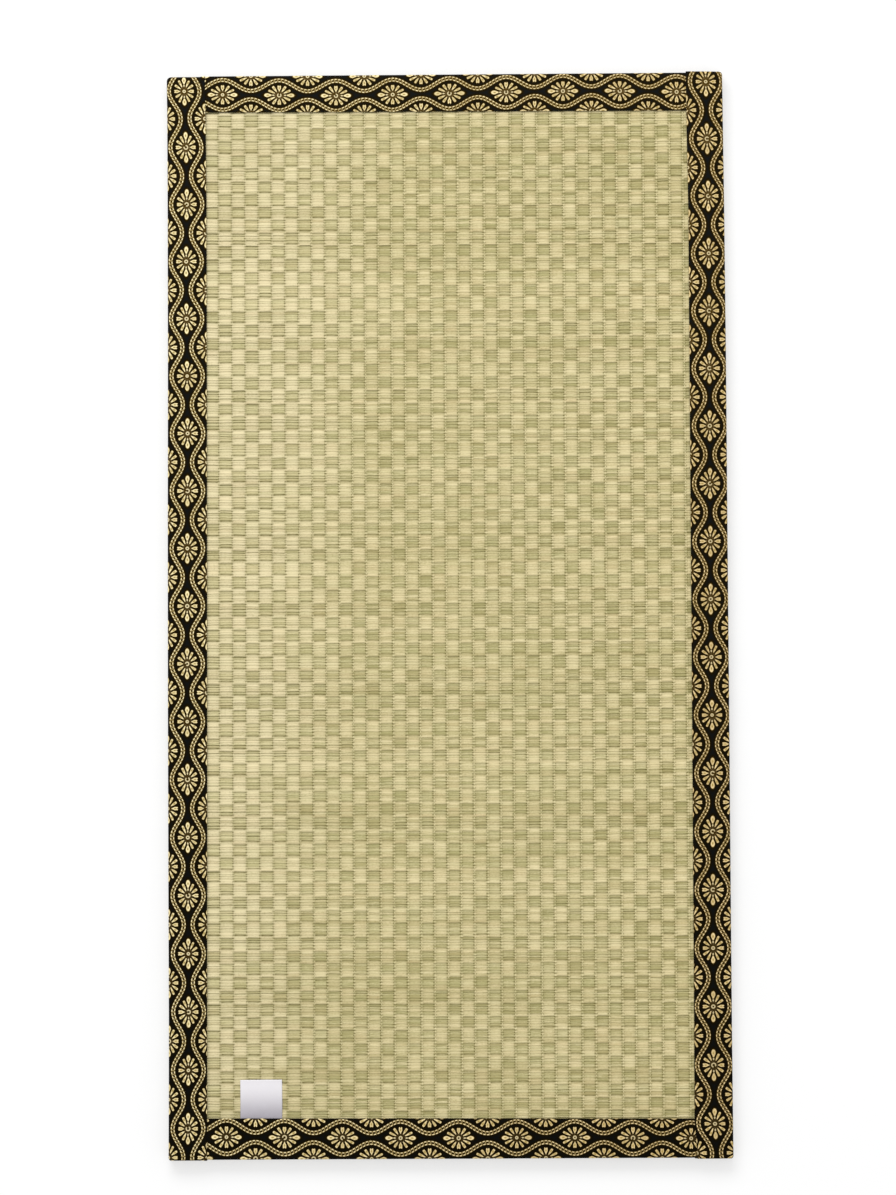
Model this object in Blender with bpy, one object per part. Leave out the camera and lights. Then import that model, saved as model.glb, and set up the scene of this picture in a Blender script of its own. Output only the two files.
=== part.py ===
"""A firm rush prayer mat with a brocade binding strip round each edge, lying flat.

X runs across the mat, Y along it and Z up. The origin is on the floor under the mat's middle.
"""

from collections import namedtuple

import bmesh
import bpy
from mathutils import Vector

MILLIMETRE = 0.001

# Overall size of the bound mat, measured over the binding.
WIDTH = 620 * MILLIMETRE
LENGTH = 1203 * MILLIMETRE
THICKNESS = 15 * MILLIMETRE

# The binding is folded brocade, and touching pieces are parted by a small gap.
CLOTH = 1.0 * MILLIMETRE
GAP = 0.3 * MILLIMETRE
LAP = CLOTH + GAP

# Rounding along the mat's edges, seen in section.
EDGE_RADIUS = 2.2 * MILLIMETRE
EDGE_SEGMENTS = 2

# Rounding of the four corners, seen from above.
CORNER_RADIUS = {"top_left": 5.0, "top_right": 4.0, "bottom_left": 3.0, "bottom_right": 3.0}
CORNER_SEGMENTS = 3

# How far the binding reaches over the underside.
UNDER_FLAP = 42 * MILLIMETRE

# The end strips stop short of the side strips' outer walls, and their walls clear the side
# strips' rounded lower edge.
END_STRIP_STOP = 6 * MILLIMETRE
END_WALL_FOOT = 4 * MILLIMETRE

# The side strips climb over the tucked ends of the end strips along this ramp, and are fully
# raised a little before they reach them.
RAMP_LENGTH = 7 * MILLIMETRE
RAMP_CLEARANCE = 2 * MILLIMETRE

# The label's visible size, and where its left edge lies.
LABEL_LENGTH = 42 * MILLIMETRE
LABEL_WIDTH = 46 * MILLIMETRE
LABEL_LEFT = -231 * MILLIMETRE

# The long edges from end to end, in millimetres: how far each outer edge is drawn in from the
# straight outline, and where the inner edge of each side strip lies.
SideStation = namedtuple("SideStation", "place left_in right_in left_inner right_inner")
SIDE_STATIONS = [
    SideStation(-602, 0.0, 0.0, -267.8, 270.8),
    SideStation(-557, 0.2, 0.1, -267.5, 267.6),
    SideStation(-450, 0.5, 0.3, -267.3, 268.1),
    SideStation(-300, 0.2, 0.3, -266.9, 268.4),
    SideStation(-100, 0.0, 0.2, -266.5, 268.8),
    SideStation(100, 0.2, 0.3, -266.2, 269.0),
    SideStation(280, 0.7, 0.2, -266.0, 269.2),
    SideStation(450, 0.7, 0.7, -266.0, 269.4),
    SideStation(555, 0.4, 1.4, -266.7, 268.0),
    SideStation(602, 0.0, 1.8, -267.6, 267.8),
]

# The short edges from left to right, in the same way.
EndStation = namedtuple("EndStation", "place bottom_in top_in bottom_inner top_inner")
END_STATIONS = [
    EndStation(-310, 0.6, 2.1, -554.7, 559.4),
    EndStation(-272, 0.6, 2.1, -554.9, 559.3),
    EndStation(-264, 0.0, 0.0, -554.9, 559.3),
    EndStation(0, 0.0, 0.0, -556.1, 558.4),
    EndStation(264, 0.0, 0.0, -557.3, 557.5),
    EndStation(272, 0.2, 0.0, -557.3, 557.5),
    EndStation(310, 0.4, 0.7, -557.5, 557.4),
]

BROCADE = ("brocade", (0.035, 0.030, 0.024), 0.55)
RUSH = ("rush", (0.62, 0.55, 0.31), 0.60)
SATIN = ("satin", (0.72, 0.71, 0.74), 0.40)


def read(stations, place, column):
    """A column's value in metres at a place between stations."""
    millimetres = place / MILLIMETRE
    for before, after in zip(stations, stations[1:]):
        if millimetres <= after.place:
            break
    share = (millimetres - before.place) / (after.place - before.place)
    share = min(max(share, 0.0), 1.0)
    low = getattr(before, column)
    high = getattr(after, column)
    return (low + (high - low) * share) * MILLIMETRE


def nominal(stations, column):
    """A column's value at the middle of an edge, in metres."""
    return read(stations, 0.0, column)


def share_outside(distance, inner, outer):
    """0 at the binding's inner edge, 1 at the mat's outer edge."""
    return min(max((abs(distance) - abs(inner)) / (abs(outer) - abs(inner)), 0.0), 1.0)


def drawn_in(point):
    """A point of the straight model, moved as the real mat's edges are drawn in."""
    side = "left" if point.x < 0 else "right"
    end = "bottom" if point.y < 0 else "top"
    x_share = share_outside(point.x, nominal(SIDE_STATIONS, side + "_inner"), WIDTH / 2)
    y_share = share_outside(point.y, nominal(END_STATIONS, end + "_inner"), LENGTH / 2)
    x_pull = read(SIDE_STATIONS, point.y, side + "_in") * x_share
    y_pull = read(END_STATIONS, point.x, end + "_in") * y_share
    x_sign = 1 if side == "left" else -1
    y_sign = 1 if end == "bottom" else -1
    return Vector((point.x + x_sign * x_pull, point.y + y_sign * y_pull, point.z))


def box(low, high):
    """A bmesh box between two corners."""
    mesh = bmesh.new()
    bmesh.ops.create_cube(mesh, size=1.0)
    size = high - low
    bmesh.ops.scale(mesh, vec=size, verts=mesh.verts)
    bmesh.ops.translate(mesh, vec=(low + high) / 2, verts=mesh.verts)
    return mesh


def edges_where(mesh, test):
    """Edges whose two ends both pass a test."""
    return [edge for edge in mesh.edges if all(test(vert.co) for vert in edge.verts)]


def near(value, target):
    return abs(value - target) < 0.01 * MILLIMETRE


def round_edges(mesh, edges, radius, segments):
    bmesh.ops.bevel(
        mesh,
        geom=edges,
        offset=radius,
        offset_type="OFFSET",
        affect="EDGES",
        segments=segments,
        profile=0.5,
        material=-1,
        clamp_overlap=True,
    )


def cut_across(mesh, axis, places):
    """Cuts the mesh at each place on an axis, so that it can follow the uneven edges."""
    normal = Vector((0, 0, 0))
    normal[axis] = 1.0
    for place in places:
        geometry = mesh.verts[:] + mesh.edges[:] + mesh.faces[:]
        bmesh.ops.bisect_plane(mesh, geom=geometry, plane_co=normal * place, plane_no=normal)


def remove_faces(mesh, test):
    """Deletes the faces whose centre passes a test."""
    faces = [face for face in mesh.faces if test(face.calc_center_median())]
    bmesh.ops.delete(mesh, geom=faces, context="FACES")


def inner_places(stations):
    """The stations between the first and the last, in metres."""
    return [station.place * MILLIMETRE for station in stations[1:-1]]


def make_material(name, finish):
    label, colour, roughness = finish
    material = bpy.data.materials.new(f"{name}_{label}")
    material.use_nodes = True
    shader = material.node_tree.nodes["Principled BSDF"]
    shader.inputs["Base Color"].default_value = (*colour, 1.0)
    shader.inputs["Roughness"].default_value = roughness
    shader.inputs["Metallic"].default_value = 0.0
    return material


def make_object(name, mesh, finish):
    """Turns a finished bmesh into a named object with its own material."""
    data = bpy.data.meshes.new(name)
    mesh.to_mesh(data)
    mesh.free()
    data.materials.append(make_material(name, finish))
    piece = bpy.data.objects.new(name, data)
    bpy.context.scene.collection.objects.link(piece)
    return piece


def give_thickness(piece):
    """Gives an open sheet the cloth's thickness, inwards from its outer face."""
    solidify = piece.modifiers.new("cloth", "SOLIDIFY")
    solidify.thickness = CLOTH
    solidify.offset = -1.0
    solidify.use_even_offset = True
    solidify.use_rim = True


def follow_uneven_edges(mesh):
    for vert in mesh.verts:
        vert.co = drawn_in(vert.co)


def make_rush_mat():
    """The firm slab inside the binding, one flat solid."""
    half_width = WIDTH / 2 - LAP
    half_length = LENGTH / 2 - 2 * LAP
    mesh = box(Vector((-half_width, -half_length, LAP)), Vector((half_width, half_length, THICKNESS - LAP)))
    uprights = [edge for edge in mesh.edges if near(edge.calc_length(), THICKNESS - 2 * LAP)]
    round_edges(mesh, uprights, max(CORNER_RADIUS.values()) * MILLIMETRE, CORNER_SEGMENTS)
    for level in (LAP, THICKNESS - LAP):
        rim = edges_where(mesh, lambda co: near(co.z, level))
        round_edges(mesh, rim, EDGE_RADIUS, EDGE_SEGMENTS)
    cut_across(mesh, 1, inner_places(SIDE_STATIONS))
    cut_across(mesh, 0, inner_places(END_STATIONS))
    follow_uneven_edges(mesh)
    return make_object("rush_mat", mesh, RUSH)


def ramp_top(end):
    """How far from the middle of the mat a side strip is fully raised, near one end."""
    return abs(nominal(END_STATIONS, end + "_inner")) - RAMP_CLEARANCE


def climb(place):
    """How far a side strip's top is raised where it passes over an end strip."""
    end = "bottom" if place < 0 else "top"
    share = (abs(place) - (ramp_top(end) - RAMP_LENGTH)) / RAMP_LENGTH
    return LAP * min(max(share, 0.0), 1.0)


def ramp_places():
    """Where a side strip starts to climb and where it is fully raised, at both ends."""
    places = []
    for sign, end in ((-1, "bottom"), (1, "top")):
        places += [sign * ramp_top(end), sign * (ramp_top(end) - RAMP_LENGTH)]
    return places


def make_side_binding(side):
    """A strip folded round one long edge, with both of its ends closed."""
    sign = -1 if side == "left" else 1
    outer = sign * WIDTH / 2
    inner = nominal(SIDE_STATIONS, side + "_inner")
    low = Vector((min(outer, inner), -LENGTH / 2, 0))
    high = Vector((max(outer, inner), LENGTH / 2, THICKNESS))
    mesh = box(low, high)
    remove_faces(mesh, lambda co: near(co.x, inner))
    for end, place in (("bottom", -LENGTH / 2), ("top", LENGTH / 2)):
        corner = edges_where(mesh, lambda co: near(co.x, outer) and near(co.y, place))
        round_edges(mesh, corner, CORNER_RADIUS[f"{end}_{side}"] * MILLIMETRE, CORNER_SEGMENTS)
    for level in (0, THICKNESS):
        rim = [edge for edge in edges_where(mesh, lambda co: near(co.z, level)) if len(edge.link_faces) == 2]
        round_edges(mesh, rim, EDGE_RADIUS, EDGE_SEGMENTS)
    cut_across(mesh, 1, inner_places(SIDE_STATIONS) + ramp_places())
    cut_across(mesh, 0, [place for place in inner_places(END_STATIONS) if low.x < place < high.x])
    for vert in mesh.verts:
        at_free_edge = near(vert.co.x, inner)
        place = vert.co.y
        over_mat = vert.co.z > THICKNESS / 2
        vert.co = drawn_in(vert.co)
        if over_mat:
            vert.co.z += climb(place)
        if at_free_edge and over_mat:
            vert.co.x = read(SIDE_STATIONS, place, side + "_inner")
        if at_free_edge and not over_mat:
            vert.co.x = outer - sign * UNDER_FLAP
    piece = make_object(f"binding_{side}", mesh, BROCADE)
    give_thickness(piece)
    return piece


def make_end_binding(end):
    """A strip folded round one short edge, its ends tucked under the side strips."""
    sign = -1 if end == "bottom" else 1
    outer = sign * (LENGTH / 2 - LAP)
    inner = nominal(END_STATIONS, end + "_inner")
    stop = WIDTH / 2 - END_STRIP_STOP
    mesh = box(Vector((-stop, min(outer, inner), 0)), Vector((stop, max(outer, inner), THICKNESS)))
    remove_faces(mesh, lambda co: near(co.y, inner) or near(abs(co.x), stop))
    folds = [edge for edge in edges_where(mesh, lambda co: near(co.y, outer)) if len(edge.link_faces) == 2]
    round_edges(mesh, folds, EDGE_RADIUS, EDGE_SEGMENTS)
    under_edge = WIDTH / 2 - UNDER_FLAP - GAP
    cut_across(mesh, 0, inner_places(END_STATIONS) + [-under_edge, under_edge])
    cut_across(mesh, 2, [END_WALL_FOOT])
    remove_faces(mesh, lambda co: abs(co.x) > under_edge and co.z < END_WALL_FOOT)
    for vert in mesh.verts:
        at_free_edge = near(vert.co.y, inner)
        place = vert.co.x
        over_mat = vert.co.z > THICKNESS / 2
        vert.co = drawn_in(vert.co)
        if at_free_edge and over_mat:
            vert.co.y = read(END_STATIONS, place, end + "_inner")
        if at_free_edge and not over_mat:
            vert.co.y = outer - sign * UNDER_FLAP
    piece = make_object(f"binding_{end}", mesh, BROCADE)
    give_thickness(piece)
    return piece


def make_label():
    """A small satin label on the rush, its lower edge against the bottom strip."""
    floor = THICKNESS - LAP + GAP
    foot = max(
        read(END_STATIONS, LABEL_LEFT, "bottom_inner"),
        read(END_STATIONS, LABEL_LEFT + LABEL_WIDTH, "bottom_inner"),
    ) + GAP
    low = Vector((LABEL_LEFT, foot, floor))
    high = low + Vector((LABEL_WIDTH, LABEL_LENGTH, CLOTH))
    return make_object("label", box(low, high), SATIN)


def clear_scene():
    for thing in list(bpy.data.objects):
        bpy.data.objects.remove(thing, do_unlink=True)


clear_scene()
make_rush_mat()
for side_name in ("left", "right"):
    make_side_binding(side_name)
for end_name in ("top", "bottom"):
    make_end_binding(end_name)
make_label()
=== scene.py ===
"""A firm rush prayer mat with its woven facing, brocade binding and bare label, in a plain studio."""

import math
from collections import namedtuple

import bmesh
import bpy
import numpy as np
from mathutils import Euler, Matrix, Vector, noise


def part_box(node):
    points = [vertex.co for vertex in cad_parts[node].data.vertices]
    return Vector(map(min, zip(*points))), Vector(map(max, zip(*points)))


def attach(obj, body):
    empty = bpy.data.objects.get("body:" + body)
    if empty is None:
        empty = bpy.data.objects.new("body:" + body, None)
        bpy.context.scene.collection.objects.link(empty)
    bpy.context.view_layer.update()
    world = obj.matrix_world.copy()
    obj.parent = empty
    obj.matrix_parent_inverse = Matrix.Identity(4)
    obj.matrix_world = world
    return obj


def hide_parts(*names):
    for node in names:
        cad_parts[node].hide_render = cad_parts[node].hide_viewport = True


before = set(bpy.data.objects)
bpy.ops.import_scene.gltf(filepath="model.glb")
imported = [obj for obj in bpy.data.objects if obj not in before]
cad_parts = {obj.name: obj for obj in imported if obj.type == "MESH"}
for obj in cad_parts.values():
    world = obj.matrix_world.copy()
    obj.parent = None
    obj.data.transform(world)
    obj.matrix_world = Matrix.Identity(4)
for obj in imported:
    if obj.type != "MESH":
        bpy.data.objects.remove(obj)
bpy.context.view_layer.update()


# The core
# A firm slab inside the mat gives it its thickness. Only its underside shows, between the folded-under
# strips, and it has the same rush weave as the top, pressed flat.

MM = 0.001
CORE_TOP = 11.4 * MM
CORE_INSET = 2.6 * MM
CORE_ROUNDING = 1.8 * MM

# The weave repeats in square blocks, a raised one beside a sunken one, with a stem for each fifth of a row.
COLUMN = 14.73 * MM
ROW = 14.71 * MM
FIRST_COLUMN = -194.65 * MM
FIRST_ROW = 542.2 * MM
STEMS = 5
STEM = ROW / STEMS


def linear(red, green, blue):
    """A colour given as a photograph holds it, 0 to 255, in linear light."""
    parts = [part / 255 for part in (red, green, blue)]
    return (*(part / 12.92 if part <= 0.04045 else ((part + 0.055) / 1.055) ** 2.4 for part in parts), 1.0)


class Shade:
    """A socket of a material's nodes. Arithmetic on it adds Math nodes."""

    def __init__(self, tree, socket=None):
        self.tree = tree
        self.socket = socket

    def node(self, kind, settings=None, sockets=None, output=0):
        """Adds a node, makes its settings, then gives its sockets their values or links."""
        node = self.tree.nodes.new(kind)
        for name, value in (settings or {}).items():
            setattr(node, name, value)
        for name, value in (sockets or {}).items():
            if isinstance(value, Shade):
                self.tree.links.new(value.socket, node.inputs[name])
            else:
                node.inputs[name].default_value = value
        return Shade(self.tree, node.outputs[output])

    def math(self, operation, *values):
        return self.node("ShaderNodeMath", {"operation": operation}, dict(enumerate(values)))

    def __add__(self, other):
        return self.math("ADD", self, other)

    def __radd__(self, other):
        return self.math("ADD", other, self)

    def __sub__(self, other):
        return self.math("SUBTRACT", self, other)

    def __rsub__(self, other):
        return self.math("SUBTRACT", other, self)

    def __mul__(self, other):
        return self.math("MULTIPLY", self, other)

    def __rmul__(self, other):
        return self.math("MULTIPLY", other, self)

    def __truediv__(self, other):
        return self.math("DIVIDE", self, other)

    def __pow__(self, other):
        return self.math("POWER", self, other)

    def __mod__(self, other):
        return self.math("FLOORED_MODULO", self, other)

    def __abs__(self):
        return self.math("ABSOLUTE", self)

    def __gt__(self, other):
        return self.math("GREATER_THAN", self, other)

    def floor(self):
        return self.math("FLOOR", self)

    def cos(self):
        return self.math("COSINE", self)

    def sin(self):
        return self.math("SINE", self)

    def root(self):
        return self.math("SQRT", self)

    def least(self, other):
        return self.math("MINIMUM", self, other)

    def most(self, other):
        return self.math("MAXIMUM", self, other)

    def within(self):
        """Held between 0 and 1."""
        return self.most(0.0).least(1.0)

    def ease(self, low, high):
        """0 up to low, 1 from high on, and smooth between. Low may be the greater of the two."""
        sockets = {"Value": self, "From Min": low, "From Max": high}
        return self.node("ShaderNodeMapRange", {"interpolation_type": "SMOOTHSTEP"}, sockets)

    def blend(self, first, second):
        """The first colour where this is 0 and the second where it is 1."""
        return self.node("ShaderNodeMix", {"data_type": "RGBA"}, {0: self, 6: first, 7: second}, 2)

    def parts(self):
        """The three numbers of a vector."""
        return [self.node("ShaderNodeSeparateXYZ", {}, {0: self}, output) for output in range(3)]


def new_finish(name, fixed):
    """A material, with the settings that are the same all over it, and its Principled shader."""
    material = bpy.data.materials.new(name)
    material.use_nodes = True
    shader = material.node_tree.nodes["Principled BSDF"]
    for socket, value in fixed.items():
        shader.inputs[socket].default_value = value
    return material, shader, Shade(material.node_tree)


def connect(shader, sockets):
    """Joins the parts that vary over a surface to its shader."""
    for name, value in sockets.items():
        value.tree.links.new(value.socket, shader.inputs[name])


def joined(shade, x, y, z):
    """A vector from three numbers."""
    return shade.node("ShaderNodeCombineXYZ", {}, {0: x, 1: y, 2: z})


def add_piece(name, mesh, material):
    """Turns a finished bmesh into an object that rides with the mat."""
    data = bpy.data.meshes.new(name)
    mesh.to_mesh(data)
    mesh.free()
    data.materials.append(material)
    piece = bpy.data.objects.new(name, data)
    bpy.context.scene.collection.objects.link(piece)
    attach(piece, "root")
    return piece


def box_between(low, high):
    mesh = bmesh.new()
    bmesh.ops.create_cube(mesh, size=1.0)
    bmesh.ops.scale(mesh, vec=high - low, verts=mesh.verts)
    bmesh.ops.translate(mesh, vec=(low + high) / 2, verts=mesh.verts)
    return mesh


def round_over(mesh, edges, radius, segments):
    bmesh.ops.bevel(
        mesh,
        geom=edges,
        offset=radius,
        offset_type="OFFSET",
        affect="EDGES",
        segments=segments,
        profile=0.5,
        material=-1,
        clamp_overlap=True,
    )


def underside_finish():
    """Plain rush weave from the object's own coordinates."""
    material, shader, start = new_finish("rush_underside", {"Specular IOR Level": 0.3})
    place = start.node("ShaderNodeTexCoord", {}, {}, "Object")
    x, y, z = place.parts()
    across = (x - FIRST_COLUMN) / COLUMN
    down = (FIRST_ROW - y) / ROW
    raised = (across.floor() + down.floor()) % 2.0
    stem = down * STEMS
    near_gap = abs(stem - stem.floor() - 0.5).ease(0.28, 0.5)
    near_string = abs(across - across.floor() - 0.5).ease(0.41, 0.5)
    number = joined(start, stem.floor(), across.floor(), 3.0)
    chance = start.node("ShaderNodeTexWhiteNoise", {"noise_dimensions": "3D"}, {"Vector": number})
    fibre_place = joined(start, x * 60.0, y * 2600.0, z)
    fibre = start.node("ShaderNodeTexNoise", {}, {"Vector": fibre_place, "Scale": 1.0, "Detail": 3.0})
    # Painted shade: the sunken blocks are darker than the raised, and the gaps and the grooves by the
    # strings are darker still.
    straw = raised.blend(linear(180, 168, 118), linear(196, 183, 135))
    shadow = (near_gap * (0.25 + chance * 0.5)).most(near_string * 0.7)
    colour = shadow.blend(straw, linear(122, 110, 68))
    colour = (fibre * 0.3).blend(colour, linear(215, 202, 158))
    height = raised * 0.4 - near_gap * 0.35 - near_string * 0.5 + fibre * 0.1
    bump = start.node("ShaderNodeBump", {}, {"Height": height, "Distance": 0.9 * MM, "Strength": 0.8})
    connect(shader, {"Base Color": colour, "Roughness": 0.5 + fibre * 0.25, "Normal": bump})
    return material


def make_core():
    low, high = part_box("rush_mat")
    inset = Vector((CORE_INSET, CORE_INSET, 0))
    mesh = box_between(low + inset, Vector((high.x, high.y, CORE_TOP)) - inset)
    round_over(mesh, mesh.edges[:], CORE_ROUNDING, 3)
    core = add_piece("core", mesh, underside_finish())
    core.data.shade_smooth()
    core.data.set_sharp_from_angle(angle=math.radians(40))
    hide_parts("rush_mat")


make_core()


# The woven facing
# Dried rush stems lie across the mat and are held by pairs of strings that run along it. They rise over
# one column and sink in the next, in blocks. It is stretched over the core and bound in at the edges.

FACING_LEFT = -271.0 * MM
FACING_RIGHT = 272.5 * MM
FIRST_COLUMN_INDEX = -6
LAST_COLUMN_INDEX = 31

# Stems are counted down the mat from the one on the edge of row 0, and a sheet starts at each of these.
SHEET_STARTS = (-7, 89, 184, 280)
LAST_STEM = 374

# Where the gap above each stem of a row lies, in stems from the row's line. The first stem lies on that
# line, belongs to the blocks on both sides of it, and is the thickest.
GAP_PLACES = (-0.42, 0.78, 1.64, 2.50, 3.46)

# The facing's height above the floor, and how far stems, strings and gaps rise above it or lie below it.
# SHARED_RISE is a shared stem's part of a block's rise.
FACING_LEVEL = 13.12 * MM
BLOCK_RISE = 0.4 * MM
SHARED_RISE = 0.75
STRING_DEPTH = 0.42 * MM
BRIDGE_RISE = 0.08 * MM
SHALLOW_GAP = 0.14 * MM
DEEP_GAP = 0.55 * MM
TUCK_DEPTH = 0.5 * MM
TUCK_REACH = 6.0 * MM

# How unevenly the rows and stems lie. Beaten up by hand, whole runs of rows lie a little high or low.
RowDrift = namedtuple("RowDrift", "place up")
ROW_DRIFTS = [
    RowDrift(-540, 0.1),
    RowDrift(-400, 0.5),
    RowDrift(-300, -0.7),
    RowDrift(-200, -1.1),
    RowDrift(-100, -0.1),
    RowDrift(0, 0.3),
    RowDrift(100, 0.8),
    RowDrift(300, 1.7),
    RowDrift(400, 1.2),
    RowDrift(550, -0.2),
]
ROW_WANDER = 0.45 * MM
ROW_SAG = 0.3 * MM
STEM_WANDER = 0.3 * MM
BLOCK_SHIFT = 0.26 * MM
BLOCK_SLANT = 0.3 * MM
HEIGHT_WANDER = 0.05 * MM

# Two lines shape each stem between its gaps: this is where they lie across it.
SHOULDERS = (0.30, 0.70)
LINES_PER_STEM = 1 + len(SHOULDERS)

# Lines along the mat shape each block between its strings: where each lies, how far it rises or sinks
# there, how far painted shade darkens the stem beside the string, and how dark the painted shade in the
# gaps is, most of all by the strings.
BlockLine = namedtuple("BlockLine", "share rise sink dark gap")
BLOCK_LINES = [
    BlockLine(0.08, 0.60, 0.80, 0.10, 1.10),
    BlockLine(0.27, 0.94, 0.95, 0.03, 0.86),
    BlockLine(0.50, 1.00, 1.00, 0.00, 0.78),
    BlockLine(0.73, 0.98, 0.95, 0.00, 0.84),
    BlockLine(0.92, 0.70, 0.80, 0.04, 1.10),
]

# Two strings run beside each other in the groove between columns. The first keeps its distance from the
# column's edge. The second is close to it at the left of the mat and further off to the right. These are
# its distances from the edge, and the places where each is reached.
FIRST_STRING = 0.5 * MM
STRINGS_CLOSE = 1.35 * MM
STRINGS_APART = 3.0 * MM
CLOSE_TO = -235 * MM
APART_FROM = -45 * MM

# How dark the painted shade in the groove is along each string, and how wide the gaps between stems are,
# which deepens them and darkens their painted shade, across the mat.
StringPlace = namedtuple("StringPlace", "place first second gaps")
STRING_PLACES = [
    StringPlace(-268, 0.70, 0.42, 1.50),
    StringPlace(-200, 0.70, 0.40, 1.36),
    StringPlace(-130, 0.72, 0.40, 1.08),
    StringPlace(-40, 0.73, 0.44, 0.98),
    StringPlace(120, 0.72, 0.56, 1.02),
    StringPlace(268, 0.68, 0.66, 1.18),
]

# A string's line of painted shade is darkest at the foot of a block that rises beside it: for the first
# string the block on its right, for the second the one on its left. It is paler over a stem than over a gap.
GROOVE_DEEP = 1.0
GROOVE_FAINT = 0.55
GROOVE_SHARED = 0.75
GROOVE_OVER_GAP = 1.1
GROOVE_OVER_STEM = 0.45
BEADS_PER_ROW = 4

# How far the gaps open, which deepens them and darkens them with painted shade, at least and at most, in
# raised and sunken blocks and at a sunken block's head and foot, and how much of that painted shade reaches
# the shoulders beside them. The gaps beside a shared stem are fainter where both sides are raised.
RAISED_GAPS = (0.22, 0.70)
SUNKEN_GAPS = (0.22, 0.98)
HEAD_GAPS = (0.40, 0.76)
FOOT_GAPS = (0.66, 0.96)
SHARED_FAINTNESS = 0.4
GAP_SOFTNESS = 0.18
EDGE_SOFTNESS = 0.42
GAP_AT_STRING = 0.35

# The draws that open a gap along its whole length, as the two shapes of a beta draw, and that change it
# from column to column, as least and most. No gap opens further than the limit.
GAP_ODDS = (0.9, 1.5)
GAP_CHANGES = (0.5, 1.4)
GAP_LIMIT = 1.15

# How much tone and hue vary from stem to stem, from block to block, and where a stem crosses a block.
TONE_SPREAD = (0.5, 0.3, 0.5)
HUE_SPREAD = (0.35, 0.3, 0.45)

dice = np.random.default_rng(20)


def from_table(table, places, column):
    """A table's column, read at places in metres. Its own places are in millimetres."""
    known_places = [row.place for row in table]
    known_values = [getattr(row, column) for row in table]
    return np.interp(np.asarray(places) / MM, known_places, known_values)


def bell(*shape):
    """Random numbers round 0, none further off than twice the usual."""
    return dice.standard_normal(shape).clip(-2, 2)


def strings_apart(x):
    """How far apart the two strings of a pair lie."""
    share = min(max((x - CLOSE_TO) / (APART_FROM - CLOSE_TO), 0.0), 1.0)
    return STRINGS_CLOSE + share * (STRINGS_APART - STRINGS_CLOSE)


def cross_lines():
    """The lines that run along the mat: the place of each, its column, and what it is."""
    lines = []
    for column in range(FIRST_COLUMN_INDEX, LAST_COLUMN_INDEX + 1):
        edge = FIRST_COLUMN + column * COLUMN
        apart = strings_apart(edge)
        block = COLUMN - apart
        lines.append((edge + FIRST_STRING, column, "string"))
        lines.append((edge + (FIRST_STRING + apart) / 2, column, "bridge"))
        lines.append((edge + apart, column, "second"))
        for number, line in enumerate(BLOCK_LINES):
            lines.append((edge + apart + line.share * block, column, number))
    lines = [line for line in lines if FACING_LEFT < line[0] < FACING_RIGHT]
    middle_line = len(BLOCK_LINES) // 2
    lines = [(FACING_LEFT, lines[0][1], middle_line)] + lines + [(FACING_RIGHT, lines[-1][1], middle_line)]
    places, columns, kinds = zip(*lines)
    return np.array(places), np.array(columns), kinds


line_x, line_column, line_kind = cross_lines()
on_string = np.array([kind == "string" for kind in line_kind])
on_second = np.array([kind == "second" for kind in line_kind])
on_bridge = np.array([kind == "bridge" for kind in line_kind])
on_stem = ~(on_string | on_second | on_bridge)
not_in_block = BlockLine(0.0, 0.0, 0.0, 0.0, 0.0)
block_lines = [BLOCK_LINES[kind] if isinstance(kind, int) else not_in_block for kind in line_kind]
line_share, line_rise, line_sink, line_dark, line_gap = (np.array(values) for values in zip(*block_lines))


def is_raised(column, row):
    return (column[None, :] + row[:, None]) % 2 == 0


def groove_strength(row, shared):
    """How dark the painted shade is on each line if it lies in a groove, for each stem."""
    late = line_share > 0.5
    beside = line_column + late
    left_up = shared | is_raised(beside - 1, row)
    right_up = shared | is_raised(beside, row)
    kinds = [right_up & ~left_up, left_up & ~right_up]
    at_first = np.select(kinds, [GROOVE_DEEP, GROOVE_FAINT], GROOVE_SHARED)
    at_second = np.select(kinds, [GROOVE_FAINT, GROOVE_DEEP], GROOVE_SHARED)
    at_first = at_first * from_table(STRING_PLACES, line_x, "first")
    at_second = at_second * from_table(STRING_PLACES, line_x, "second")
    return np.where(on_string | late, at_first, np.where(on_bridge, (at_first + at_second) / 2, at_second))


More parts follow.
